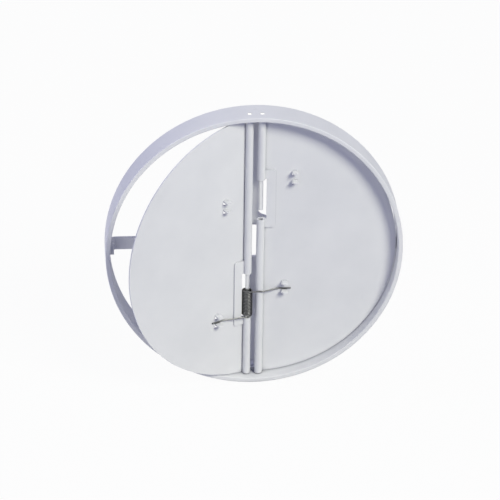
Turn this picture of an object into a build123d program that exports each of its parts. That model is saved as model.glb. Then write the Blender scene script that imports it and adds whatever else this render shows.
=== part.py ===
from build123d import *
import math
import os

# A spring-loaded butterfly damper: a short ring, two half-round sheet blades on two upright
# hinge lines, a cross-shaped stop frame behind them and a torsion spring between the blades.
# The ring's axis runs along Y, its front rim faces -Y, and the hinge lines run along Z.

# Driving dimensions in millimetres and degrees: the ring
ring_diameter = 150.0
ring_wall = 2.4
ring_depth = 16.0
rim_rounding = 0.5

# The sheet blades and their curled hinge edges
sheet = 0.8
blade_edge_gap = 0.5
blade_gap = 2.2
hinge_setback = 5.8
curl_turn = 300.0
left_blade_opening = 29.0

# The hinge pins
pin_diameter = 2.2
pin_running_clearance = 0.08
pin_seat_clearance = 0.02
pin_end_recess = 0.1
short_pin_grip = 22.0
right_pin_bare_gap = 5.4
left_pin_overlap = 3.5

# The window in each hinge edge and the folded tab round it
right_window_bottom = 16.4
right_window_top = 38.6
left_window_bottom = -39.5
left_window_top = -14.2
window_clearance = 0.25
tab_border = 4.4
right_tab_bottom = 11.4
right_tab_top = 43.4
left_tab_bottom = -43.4
left_tab_top = -7.0
tab_corner = 1.2

# The lanced ears that guide the spring's legs, in pairs
ear_width = 2.8
ear_height = 3.8
ear_opening = 2.0
ear_tip_rounding = 0.8
ear_pitch = 4.9
right_upper_ears = (20.1, 39.6)
left_upper_ears = (16.0, 27.1)
right_leg_reach = 15.9
left_leg_reach = 20.4

# The torsion spring
wire_diameter = 0.7
wire_clearance = 0.1
coil_length = 14.2
coil_end_gap = 1.4
coil_turns = 17
leg_above_ear = 0.25
leg_rest_gap = 0.03
leg_tail = 1.8
leg_knee = 1.6
leg_bend = 4.0
coil_end_swell = 0.03

# The cross-shaped stop frame and its rivets
frame_sheet = 2.0
frame_recess = 0.3
frame_bend = 1.0
frame_seat_gap = 0.05
stop_gap = 0.3
cross_arm = 6.3
upright_arm = 5.4
hub_diameter = 30.0
hub_hole = 18.5
hub_blend = 3.0
rivet_diameter = 1.5
rivet_head_diameter = 2.4
rivet_head_height = 0.7
rivet_crown = 0.5
rivet_clearance = 0.02
rivet_head_gap = 0.05

# Sizes worked out from the driving dimensions
ring_radius = ring_diameter / 2
bore_radius = ring_radius - ring_wall
blade_radius = bore_radius - blade_edge_gap
front_rim = -ring_depth / 2
back_rim = ring_depth / 2
pin_radius = pin_diameter / 2
curl_inner = pin_radius + pin_running_clearance
curl_outer = curl_inner + sheet
hinge_x = curl_outer + blade_gap / 2
hinge_y = front_rim + hinge_setback
plate_front = hinge_y + curl_inner
plate_back = hinge_y + curl_outer
wire_radius = wire_diameter / 2
coil_radius = curl_outer + wire_clearance + wire_radius
window_edge = hinge_x + coil_radius + wire_radius + window_clearance
tab_edge = window_edge + tab_border
coil_bottom = left_window_bottom + coil_end_gap
coil_top = coil_bottom + coil_length
leg_y = plate_front - leg_rest_gap - wire_radius
ears_above_leg = ear_pitch / 2 - leg_above_ear - wire_radius - sheet / 2
right_leg_ears = (right_leg_reach, coil_top + ears_above_leg)
left_leg_ears = (left_leg_reach, coil_bottom + ears_above_leg)
pin_outer_z = math.sqrt(ring_radius**2 - (hinge_x + pin_radius) ** 2) - pin_end_recess
foot_outer = bore_radius - frame_seat_gap
foot_inner = foot_outer - frame_sheet
frame_back = back_rim - frame_recess
frame_front = frame_back - frame_sheet
foot_front = plate_back + stop_gap
rivet_hole = rivet_diameter / 2 + rivet_clearance
rivet_y = (foot_front + frame_front - frame_bend) / 2
rivet_outer = ring_radius - pin_end_recess
rivet_seat = foot_inner - rivet_head_gap

along_y = (90, 0, 0)
left_hinge = Axis((-hinge_x, hinge_y, 0), (0, 0, 1))
foot_turns = (0, 90, 180, 270)


def block(low, high):
    """A box between two corners."""
    size = [b - a for a, b in zip(low, high)]
    return Pos(*low) * Box(*size, align=(Align.MIN, Align.MIN, Align.MIN))


def upright_rod(x, radius, low, high):
    """A round bar along Z on one of the hinge lines."""
    bottom = (Align.CENTER, Align.CENTER, Align.MIN)
    return Pos(x, hinge_y, low) * Cylinder(radius, high - low, align=bottom)


def radial_rod(radius, low, high, turn):
    """A round bar that points away from the ring's axis, at the rivets' depth."""
    bottom = (Align.CENTER, Align.CENTER, Align.MIN)
    rod = Pos(0, rivet_y, low) * Cylinder(radius, high - low, align=bottom)
    return Rot(0, turn, 0) * rod


def make_ring():
    """The hoop, with rounded rims and holes for the pins and the rivets."""
    hoop = Cylinder(ring_radius, ring_depth, rotation=along_y)
    hoop -= Cylinder(bore_radius, ring_depth, rotation=along_y)
    hoop = fillet(hoop.edges().filter_by(GeomType.CIRCLE), rim_rounding)
    for x in (-hinge_x, hinge_x):
        hoop -= upright_rod(x, pin_radius + pin_seat_clearance, -ring_diameter, ring_diameter)
    for turn in foot_turns:
        hoop -= radial_rod(rivet_hole, foot_inner, ring_diameter, turn)
    return hoop


def sheet_profile():
    """Section of a blade: the flat plate, and its edge curled round the pin."""
    centre = (hinge_x, hinge_y)
    outer_arc = CenterArc(centre, curl_outer, 90, curl_turn)
    inner_arc = CenterArc(centre, curl_inner, 90, curl_turn)
    outline = [
        Line((blade_radius, plate_back), outer_arc @ 0),
        outer_arc,
        Line(outer_arc @ 1, inner_arc @ 1),
        inner_arc,
        Line(inner_arc @ 0, (blade_radius, plate_front)),
        Line((blade_radius, plate_front), (blade_radius, plate_back)),
    ]
    return make_face(outline)


def make_tab(tab_bottom, tab_top):
    """The folded sheet that lies on the plate round the window."""
    low = (hinge_x + curl_inner, plate_front - sheet, tab_bottom)
    high = (tab_edge, plate_front, tab_top)
    tab = block(low, high)
    corners = tab.edges().filter_by(Axis.Y).group_by(Axis.X)[-1]
    return fillet(corners, tab_corner)


def add_ears(blade, reach, middle):
    """Two lanced ears, each bent forward from the opening below it."""
    for ear_z in (middle - ear_pitch / 2, middle + ear_pitch / 2):
        low = (reach - ear_width / 2, plate_front - ear_height, ear_z - sheet / 2)
        high = (reach + ear_width / 2, plate_back, ear_z + sheet / 2)
        ear = block(low, high)
        tips = ear.edges().filter_by(Axis.Z).group_by(Axis.Y)[0]
        ear = fillet(tips, ear_tip_rounding)
        opening_low = (low[0], plate_front - sheet, low[2] - ear_opening)
        opening_high = (high[0], plate_back + sheet, low[2])
        blade = blade + ear - block(opening_low, opening_high)
    return blade


def make_blade(window_span, tab_span, ear_pairs):
    """A closed blade to the right of its hinge line."""
    window_bottom, window_top = window_span
    strip = extrude(sheet_profile(), blade_radius, both=True)
    blade = strip & Cylinder(blade_radius, ring_diameter, rotation=along_y)
    blade += make_tab(*tab_span)
    window_low = (0, front_rim, window_bottom)
    window_high = (window_edge, back_rim, window_top)
    blade -= block(window_low, window_high)
    for reach, middle in ear_pairs:
        blade = add_ears(blade, reach, middle)
    return blade


def make_right_blade():
    """The right blade stands closed."""
    window_span = (right_window_bottom, right_window_top)
    tab_span = (right_tab_bottom, right_tab_top)
    return make_blade(window_span, tab_span, (right_upper_ears, right_leg_ears))


def make_left_blade():
    """The left blade is handed the other way and stands ajar."""
    window_span = (left_window_bottom, left_window_top)
    tab_span = (left_tab_bottom, left_tab_top)
    closed = make_blade(window_span, tab_span, (left_upper_ears, left_leg_ears))
    return closed.mirror(Plane.YZ).rotate(left_hinge, left_blade_opening)


def wire_along(path):
    """Round wire that follows a path."""
    section = Plane(origin=path @ 0, z_dir=path % 0) * Circle(wire_radius)
    return sweep(section, path=path, is_frenet=True)


def make_leg(knee, reach, z):
    """A leg that leaves the coil's front, comes down to a blade and ends past its ears."""
    side = math.copysign(1, reach)
    front = hinge_y - coil_radius
    points = [
        (-hinge_x, front, z),
        (knee, front, z),
        (reach - side * (ear_width / 2 + leg_tail), leg_y, z),
        (reach + side * (ear_width / 2 + leg_tail), leg_y, z),
    ]
    coil_end = Pos(*points[0]) * Sphere(wire_radius + coil_end_swell)
    return wire_along(FilletPolyline(*points, radius=leg_bend)) + coil_end


def make_spring():
    """The coil stands on the left blade's lower pin, with a leg on each blade."""
    turns = coil_turns - left_blade_opening / 360
    helix = Helix(coil_length / turns, coil_length, coil_radius)
    coil = Rot(0, 0, 270 + left_blade_opening) * wire_along(helix)
    coil = Pos(-hinge_x, hinge_y, coil_bottom) * coil
    right_leg = make_leg(hinge_x + leg_knee, right_leg_reach, coil_top)
    left_leg = make_leg(-hinge_x - leg_knee, -left_leg_reach, coil_bottom)
    return coil + right_leg + left_leg.rotate(left_hinge, left_blade_opening)


def make_stop_frame():
    """A flanged disc cut to a cross: its bent feet end just behind the closed blades."""
    corners = [
        (hub_hole / 2, frame_back),
        (foot_outer, frame_back),
        (foot_outer, foot_front),
        (foot_inner, foot_front),
        (foot_inner, frame_front),
        (hub_hole / 2, frame_front),
    ]
    section = make_face(Polyline(*corners, close=True))
    outer_bend = section.vertices().sort_by_distance((*corners[1], 0))[0]
    section = fillet(outer_bend, frame_bend + frame_sheet)
    inner_bend = section.vertices().sort_by_distance((*corners[4], 0))[0]
    section = fillet(inner_bend, frame_bend)
    disc = revolve(section, Axis.Y)
    arms = Rectangle(ring_diameter, cross_arm) + Rectangle(upright_arm, ring_diameter)
    outline = Circle(hub_diameter / 2) + arms
    joins = outline.vertices().filter_by(lambda v: Vector(v).length < hub_diameter)
    outline = fillet(joins, hub_blend)
    frame = disc & extrude(Plane.XZ * outline, ring_depth, both=True)
    for turn in foot_turns:
        frame -= radial_rod(rivet_hole, foot_inner - frame_sheet, ring_diameter, turn)
    return frame


def make_rivets():
    """One rivet through each foot, flush outside, with a domed head inside."""
    rivets = []
    for turn in foot_turns:
        shank = radial_rod(rivet_diameter / 2, rivet_seat, rivet_outer, turn)
        head = radial_rod(rivet_head_diameter / 2, rivet_seat - rivet_head_height, rivet_seat, turn)
        crown = head.edges().filter_by(GeomType.CIRCLE).sort_by_distance((0, rivet_y, 0))[0]
        rivets.append(shank + fillet(crown, rivet_crown))
    return Compound(rivets)


right_pin_end = right_window_bottom + right_pin_bare_gap
left_pin_end = left_window_top + left_pin_overlap
short_pin_end = bore_radius - short_pin_grip

nodes = {
    "ring": make_ring(),
    "right_blade": make_right_blade(),
    "left_blade": make_left_blade(),
    "right_upper_pin": upright_rod(hinge_x, pin_radius, right_pin_end, pin_outer_z),
    "right_lower_pin": upright_rod(hinge_x, pin_radius, -pin_outer_z, -short_pin_end),
    "left_upper_pin": upright_rod(-hinge_x, pin_radius, short_pin_end, pin_outer_z),
    "left_lower_pin": upright_rod(-hinge_x, pin_radius, -pin_outer_z, left_pin_end),
    "torsion_spring": make_spring(),
    "stop_frame": make_stop_frame(),
    "frame_rivets": make_rivets(),
}

os.makedirs("parts", exist_ok=True)
for name, solid in nodes.items():
    export_step(solid, f"parts/{name}.step")
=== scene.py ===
import math

import bpy
from mathutils import Matrix, Vector


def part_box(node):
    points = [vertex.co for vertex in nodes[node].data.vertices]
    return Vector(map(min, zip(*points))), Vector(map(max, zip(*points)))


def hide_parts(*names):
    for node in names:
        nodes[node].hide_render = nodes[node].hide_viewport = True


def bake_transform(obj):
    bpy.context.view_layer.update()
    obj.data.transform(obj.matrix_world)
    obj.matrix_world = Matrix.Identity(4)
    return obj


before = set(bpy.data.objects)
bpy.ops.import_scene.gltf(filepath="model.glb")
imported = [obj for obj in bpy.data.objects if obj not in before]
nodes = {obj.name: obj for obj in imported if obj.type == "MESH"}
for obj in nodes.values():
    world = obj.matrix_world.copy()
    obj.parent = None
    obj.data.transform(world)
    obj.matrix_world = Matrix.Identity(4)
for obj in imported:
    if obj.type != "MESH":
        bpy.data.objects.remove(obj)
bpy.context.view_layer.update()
scene = bpy.context.scene
scene.view_settings.view_transform = "Standard"

# Width and height of the picture
image_px = 500

# Sizes in metres that the spring shares with the solids
hinge_x = 0.00308
hinge_y = -0.0022
wire_radius = 0.00035
coil_radius = 0.00243
coil_bottom = -0.0381
coil_top = -0.0239
coil_turns = 17
left_opening = math.radians(29.0)
leg_y = -0.0014
right_leg_reach = 0.0159
left_leg_reach = 0.0204
leg_half_span = 0.0032
leg_knee = 0.0016
leg_bend = 0.004


def add_camera():
    """A long lens that looks down on the damper's front, as in the photograph."""
    azimuth = math.radians(-4.75)
    elevation = math.radians(27.8)
    roll = math.radians(0.917)
    distance = 1.5152
    focal_px = 3000.0
    centre_px = (253.64, 245.94)
    sensor_mm = 36.0
    back = Vector((
        math.sin(azimuth) * math.cos(elevation),
        -math.cos(azimuth) * math.cos(elevation),
        math.sin(elevation),
    ))
    level = Vector((math.cos(azimuth), math.sin(azimuth), 0))
    upright = back.cross(level)
    right = math.cos(roll) * level + math.sin(roll) * upright
    up = math.cos(roll) * upright - math.sin(roll) * level
    data = bpy.data.cameras.new("camera")
    data.sensor_width = sensor_mm
    data.lens = sensor_mm * focal_px / image_px
    data.shift_x = (image_px / 2 - centre_px[0]) / image_px
    data.shift_y = (centre_px[1] - image_px / 2) / image_px
    data.clip_start = 0.01
    camera = bpy.data.objects.new("camera", data)
    turn = Matrix((right, up, back)).transposed().to_4x4()
    camera.matrix_world = Matrix.Translation(back * distance) @ turn
    scene.collection.objects.link(camera)
    scene.camera = camera


def new_material(name):
    """A material with an empty node tree."""
    material = bpy.data.materials.new(name)
    material.use_nodes = True
    tree = material.node_tree
    tree.nodes.clear()
    return material, tree


def surface_material(name):
    """A material with one shader for a solid surface."""
    material, tree = new_material(name)
    out = tree.nodes.new("ShaderNodeOutputMaterial")
    shader = tree.nodes.new("ShaderNodeBsdfPrincipled")
    tree.links.new(shader.outputs["BSDF"], out.inputs["Surface"])
    return material, tree, shader


def noise_field(tree, scale, detail=3.0, stretch=(1, 1, 1)):
    """Noise fixed to the piece, scaled by its own factor along each axis."""
    place = tree.nodes.new("ShaderNodeTexCoord")
    scaled = tree.nodes.new("ShaderNodeMapping")
    scaled.inputs["Scale"].default_value = stretch
    noise = tree.nodes.new("ShaderNodeTexNoise")
    noise.inputs["Scale"].default_value = scale
    noise.inputs["Detail"].default_value = detail
    tree.links.new(place.outputs["Object"], scaled.inputs["Vector"])
    tree.links.new(scaled.outputs["Vector"], noise.inputs["Vector"])
    return noise.outputs["Fac"]


def ramp(tree, source, low, high, start, end):
    """A colour that goes from low to high while the source goes from start to end."""
    node = tree.nodes.new("ShaderNodeValToRGB")
    node.color_ramp.elements[0].position = start
    node.color_ramp.elements[0].color = low
    node.color_ramp.elements[1].position = end
    node.color_ramp.elements[1].color = high
    tree.links.new(source, node.inputs["Fac"])
    return node.outputs["Color"]


def span(tree, source, low, high):
    """A number that goes from low to high while the source goes from 0 to 1."""
    node = tree.nodes.new("ShaderNodeMapRange")
    node.inputs["To Min"].default_value = low
    node.inputs["To Max"].default_value = high
    tree.links.new(source, node.inputs["Value"])
    return node.outputs["Result"]


def add_bump(tree, shader, height, strength, distance):
    """Fine relief on the shader's surface."""
    bump = tree.nodes.new("ShaderNodeBump")
    bump.inputs["Strength"].default_value = strength
    bump.inputs["Distance"].default_value = distance
    tree.links.new(height, bump.inputs["Height"])
    tree.links.new(bump.outputs["Normal"], shader.inputs["Normal"])


def paint_shade_in_corners(tree, colour, reach, shade, start, end):
    """Painted shade: multiplies a colour by a darker shade where the surface lies in a corner or crevice,
    as ambient occlusion finds it.
    """
    corners = tree.nodes.new("ShaderNodeAmbientOcclusion")
    corners.inputs["Distance"].default_value = reach
    # Painted shade: the colour ramps down to the shade where little open space surrounds the surface
    painted_shade = ramp(tree, corners.outputs["AO"], shade, (1, 1, 1, 1), start, end)
    # A colour mix has its factor at input 0, its colours at 6 and 7 and its result at output 2
    mix = tree.nodes.new("ShaderNodeMix")
    mix.data_type = "RGBA"
    mix.blend_type = "MULTIPLY"
    mix.inputs[0].default_value = 1.0
    tree.links.new(colour, mix.inputs[6])
    tree.links.new(painted_shade, mix.inputs[7])
    return mix.outputs[2]


def paint_material():
    """Satin powder coat: faint mottling, painted shade that darkens the corners, a fine orange-peel skin,
    uneven gloss.
    """
    darker = (0.72, 0.727, 0.74, 1)
    paler = (0.765, 0.77, 0.78, 1)
    # Colour of the painted shade laid into corners and crevices
    corner_shade_colour = (0.5, 0.51, 0.55, 1)
    material, tree, shader = surface_material("pale_powder_coat")
    mottle = noise_field(tree, 45.0, detail=4.0)
    colour = ramp(tree, mottle, darker, paler, 0.3, 0.7)
    # Painted shade: corners and crevices darken towards this colour
    colour_with_painted_shade = paint_shade_in_corners(tree, colour, 0.004, corner_shade_colour, 0.15, 0.75)
    tree.links.new(colour_with_painted_shade, shader.inputs["Base Color"])
    gloss = noise_field(tree, 160.0)
    tree.links.new(span(tree, gloss, 0.52, 0.66), shader.inputs["Roughness"])
    peel = noise_field(tree, 900.0, detail=2.0)
    add_bump(tree, shader, peel, 0.025, 0.0002)
    shader.inputs["Specular IOR Level"].default_value = 0.15
    return material


def metal_material(name, dark, light, crevice, roughness, stretch):
    """Drawn steel: fine streaks along the wire or pin, and painted shade that darkens the crevices."""
    material, tree, shader = surface_material(name)
    streaks = noise_field(tree, 1.0, detail=4.0, stretch=stretch)
    colour = ramp(tree, streaks, dark, light, 0.3, 0.7)
    # Painted shade: the steel darkens towards the crevice colour in corners and between the coil's turns
    steel_with_painted_shade = paint_shade_in_corners(tree, colour, 0.002, crevice, 0.5, 1.0)
    tree.links.new(steel_with_painted_shade, shader.inputs["Base Color"])
    tree.links.new(span(tree, streaks, *roughness), shader.inputs["Roughness"])
    add_bump(tree, shader, streaks, 0.08, 0.0001)
    shader.inputs["Metallic"].default_value = 1.0
    return material


def dress(node, material):
    """Gives a solid its one material."""
    node.data.materials.clear()
    node.data.materials.append(material)


def tube(name, points, radius, material, sides=12):
    """Round wire through a row of points, closed at both ends."""
    tangents = []
    for i in range(len(points)):
        before = points[max(i - 1, 0)]
        after = points[min(i + 1, len(points) - 1)]
        tangents.append((after - before).normalized())
    side = tangents[0].orthogonal().normalized()
    vertices = []
    for point, tangent in zip(points, tangents):
        side = (side - tangent * side.dot(tangent)).normalized()
        other = tangent.cross(side)
        for k in range(sides):
            angle = math.tau * k / sides
            vertices.append(point + radius * (math.cos(angle) * side + math.sin(angle) * other))
    faces = [tuple(range(sides - 1, -1, -1))]
    for i in range(len(points) - 1):
        for k in range(sides):
            a = i * sides + k
            b = i * sides + (k + 1) % sides
            faces.append((a, b, b + sides, a + sides))
    last = (len(points) - 1) * sides
    faces.append(tuple(range(last, last + sides)))
    mesh = bpy.data.meshes.new(name)
    mesh.from_pydata([tuple(v) for v in vertices], [], faces)
    mesh.update()
    for face in mesh.polygons:
        face.use_smooth = len(face.vertices) == 4
    mesh.materials.append(material)
    wire = bpy.data.objects.new(name, mesh)
    scene.collection.objects.link(wire)
    return wire


def rounded_path(corners, radius, step=0.0006):
    """Points along a bent wire: straight runs with an arc of the given radius at each corner."""
    arc_steps = 6
    path = [corners[0]]
    for before, corner, after in zip(corners, corners[1:], corners[2:]):
        towards = (before - corner).normalized()
        onwards = (after - corner).normalized()
        half = towards.angle(onwards) / 2
        reach = radius / math.tan(half)
        centre = corner + (towards + onwards).normalized() * (radius / math.sin(half))
        first = corner + towards * reach
        last = corner + onwards * reach
        for k in range(arc_steps + 1):
            arm = (first - centre).slerp(last - centre, k / arc_steps)
            path.append(centre + arm.normalized() * radius)
    path.append(corners[-1])
    filled = [path[0]]
    for a, b in zip(path, path[1:]):
        pieces = max(1, int((b - a).length / step))
        for k in range(1, pieces + 1):
            filled.append(a.lerp(b, k / pieces))
    return filled


def leg_corners(knee, reach, z):
    """Corners of a leg that leaves the coil's front, comes down to a blade and ends past its ears."""
    side = math.copysign(1, reach)
    front = hinge_y - coil_radius
    return [
        Vector((-hinge_x, front, z)),
        Vector((knee, front, z)),
        Vector((reach - side * leg_half_span, leg_y, z)),
        Vector((reach + side * leg_half_span, leg_y, z)),
    ]


def left_leg_line():
    """The left leg's middle line, turned about its hinge as far as the left blade stands open."""
    closed = rounded_path(leg_corners(-hinge_x - leg_knee, -left_leg_reach, coil_bottom), leg_bend)
    pivot = Vector((-hinge_x, hinge_y, 0))
    turn = Matrix.Translation(pivot) @ Matrix.Rotation(left_opening, 4, "Z") @ Matrix.Translation(-pivot)
    return [turn @ point for point in closed]


def coil_line():
    """The coil's middle line, from the left leg at the bottom to the right leg at the top."""
    points_per_turn = 28
    turns = coil_turns - left_opening / math.tau
    count = int(turns * points_per_turn)
    points = []
    for i in range(count + 1):
        share = i / count
        angle = math.radians(270) + left_opening + share * turns * math.tau
        points.append(Vector((
            -hinge_x + coil_radius * math.cos(angle),
            hinge_y + coil_radius * math.sin(angle),
            coil_bottom + share * (coil_top - coil_bottom),
        )))
    return points


def add_spring(material):
    """The coil with its left leg, and the right leg, as two separate wires, in place of the spring solid,
    which is hidden.
    """
    # The wire runs from the left leg's tip; the leg's point on the coil is left out, as the coil has it
    left_and_coil = left_leg_line()[:0:-1] + coil_line()
    coil = tube("spring_coil_and_left_leg", left_and_coil, wire_radius, material)
    right_line = rounded_path(leg_corners(hinge_x + leg_knee, right_leg_reach, coil_top), leg_bend)
    right_leg = tube("spring_right_leg", right_line, wire_radius, material)
    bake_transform(coil)
    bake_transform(right_leg)
    for piece in (coil, right_leg):
        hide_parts("torsion_spring")


def direct_view(tree):
    """One where the camera, a reflection or a clear body looks straight at the backdrop."""
    rays = tree.nodes.new("ShaderNodeLightPath")
    seen = rays.outputs["Is Camera Ray"]
    for kind in ("Is Glossy Ray", "Is Transmission Ray"):
        either = tree.nodes.new("ShaderNodeMath")
        either.operation = "MAXIMUM"
        tree.links.new(seen, either.inputs[0])
        tree.links.new(rays.outputs[kind], either.inputs[1])
        seen = either.outputs[0]
    return seen


def add_floor():
    """A pale floor just under the ring, white where it is looked at, with a faint shadow."""
    left, right, front, back = -0.7, 0.7, -0.24, 0.8
    clearance = 0.0002
    white_share = 0.96
    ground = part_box("ring")[0].z - clearance
    mesh = bpy.data.meshes.new("floor")
    corners = [(left, front, ground), (right, front, ground), (right, back, ground), (left, back, ground)]
    mesh.from_pydata(corners, [], [(0, 1, 2, 3)])
    floor = bpy.data.objects.new("floor", mesh)
    scene.collection.objects.link(floor)
    material, tree = new_material("white_floor")
    out = tree.nodes.new("ShaderNodeOutputMaterial")
    matte = tree.nodes.new("ShaderNodeBsdfDiffuse")
    matte.inputs["Color"].default_value = (0.55, 0.55, 0.55, 1)
    glow = tree.nodes.new("ShaderNodeEmission")
    glow.inputs["Color"].default_value = (1.0, 1.0, 1.0, 1)
    glow.inputs["Strength"].default_value = 1.0
    mix = tree.nodes.new("ShaderNodeMixShader")
    share = tree.nodes.new("ShaderNodeMath")
    share.operation = "MULTIPLY"
    share.inputs[1].default_value = white_share
    tree.links.new(direct_view(tree), share.inputs[0])
    tree.links.new(share.outputs[0], mix.inputs["Fac"])
    tree.links.new(matte.outputs["BSDF"], mix.inputs[1])
    tree.links.new(glow.outputs["Emission"], mix.inputs[2])
    tree.links.new(mix.outputs["Shader"], out.inputs["Surface"])
    mesh.materials.append(material)


def add_world():
    """Soft bluish light all round, behind a white backdrop."""
    world = bpy.data.worlds.new("studio")
    scene.world = world
    world.use_nodes = True
    tree = world.node_tree
    tree.nodes.clear()
    out = tree.nodes.new("ShaderNodeOutputWorld")
    soft = tree.nodes.new("ShaderNodeBackground")
    soft.inputs["Color"].default_value = (0.15, 0.22, 1.0, 1)
    soft.inputs["Strength"].default_value = 0.24
    white = tree.nodes.new("ShaderNodeBackground")
    white.inputs["Color"].default_value = (1.0, 1.0, 1.0, 1)
    white.inputs["Strength"].default_value = 1.0
    mix = tree.nodes.new("ShaderNodeMixShader")
    tree.links.new(direct_view(tree), mix.inputs["Fac"])
    tree.links.new(soft.outputs["Background"], mix.inputs[1])
    tree.links.new(white.outputs["Background"], mix.inputs[2])
    tree.links.new(mix.outputs["Shader"], out.inputs["Surface"])


def add_lamp(name, place, size, power, colour):
    """A round soft lamp aimed at the middle of the ring."""
    data = bpy.data.lights.new(name, "AREA")
    data.shape = "DISK"
    data.size = size
    data.energy = power
    data.color = colour
    lamp = bpy.data.objects.new(name, data)
    lamp.location = place
    lamp.rotation_euler = (-Vector(place)).to_track_quat("-Z", "Y").to_euler()
    scene.collection.objects.link(lamp)


add_camera()
paint = paint_material()
pin_steel = metal_material(
    "drawn_pin_steel",
    dark=(0.62, 0.63, 0.66, 1),
    light=(0.78, 0.79, 0.81, 1),
    # Colour of the painted shade in the pins' crevices
    crevice=(0.6, 0.6, 0.6, 1),
    roughness=(0.22, 0.38),
    stretch=(2500, 2500, 60),
)
spring_steel = metal_material(
    "dark_spring_wire",
    dark=(0.12, 0.122, 0.128, 1),
    light=(0.2, 0.203, 0.213, 1),
    # Colour of the painted shade in the spring's crevices and between its turns
    crevice=(0.04, 0.04, 0.045, 1),
    roughness=(0.3, 0.45),
    stretch=(900, 900, 900),
)
for name in ("ring", "right_blade", "left_blade", "stop_frame", "frame_rivets"):
    dress(nodes[name], paint)
for name in ("right_upper_pin", "right_lower_pin", "left_upper_pin", "left_lower_pin"):
    dress(nodes[name], pin_steel)
dress(nodes["torsion_spring"], spring_steel)
add_spring(spring_steel)
add_floor()
add_world()
add_lamp("key", (0.70, -0.97, 1.0), size=0.6, power=21.3, colour=(0.99, 0.985, 0.83))
add_lamp("fill", (-0.7, -1.3, 0.3), size=0.8, power=3.2, colour=(1.0, 0.98, 0.92))
add_lamp("rim", (-1.1, 0.1, 0.45), size=1.0, power=5.4, colour=(0.90, 0.90, 0.98))
add_lamp("back", (-0.35, 1.6, 0.45), size=2.2, power=13.0, colour=(1.0, 0.965, 0.79))
